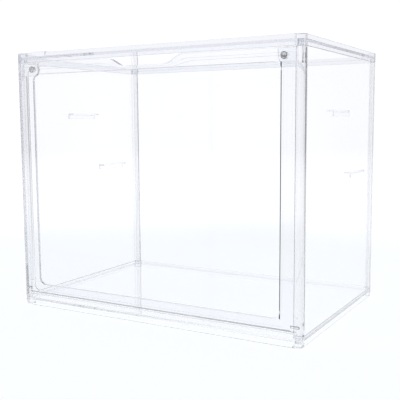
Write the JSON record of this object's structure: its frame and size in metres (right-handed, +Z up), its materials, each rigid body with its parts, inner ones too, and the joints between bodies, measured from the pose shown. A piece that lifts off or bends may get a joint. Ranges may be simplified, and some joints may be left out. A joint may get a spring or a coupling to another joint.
{
  "type": "acrylic display case",
  "caption": "Clear acrylic display case with a drop-front door that turns on lower pins and shuts on corner magnets; stackable rimmed base and top, side shelf ledges.",
  "frame": {"origin": "middle of the footprint, on the surface that the case stands on", "axes": "+X to the right across the front, +Y from the door to the back panel, +Z up"},
  "size_m": [0.36, 0.24, 0.3015],
  "materials": {
    "clear_acrylic": "clear moulded acrylic, polished, with a very slight blue cast in thick sections",
    "nickel_magnet": "nickel-plated disc magnet, satin"
  },
  "bodies": {
    "case": {"base_tray": "clear_acrylic", "top_cover": "clear_acrylic", "left_side_panel": "clear_acrylic", "right_side_panel": "clear_acrylic", "back_panel": "clear_acrylic", "left_frame_magnet": "nickel_magnet", "right_frame_magnet": "nickel_magnet", "left_upper_ledge": "clear_acrylic", "left_lower_ledge": "clear_acrylic", "right_upper_ledge": "clear_acrylic", "right_lower_ledge": "clear_acrylic"},
    "door": {"front_door": "clear_acrylic", "left_door_magnet": "nickel_magnet", "right_door_magnet": "nickel_magnet", "left_hinge_pin": "clear_acrylic", "right_hinge_pin": "clear_acrylic"}
  },
  "joints": [
    {"name": "door_drop", "type": "hinge", "parent": "case", "child": "door", "pos_m": [0, -0.117, 0.0205], "axis": [1, 0, 0], "range_deg": [0, 93]}
  ]
}
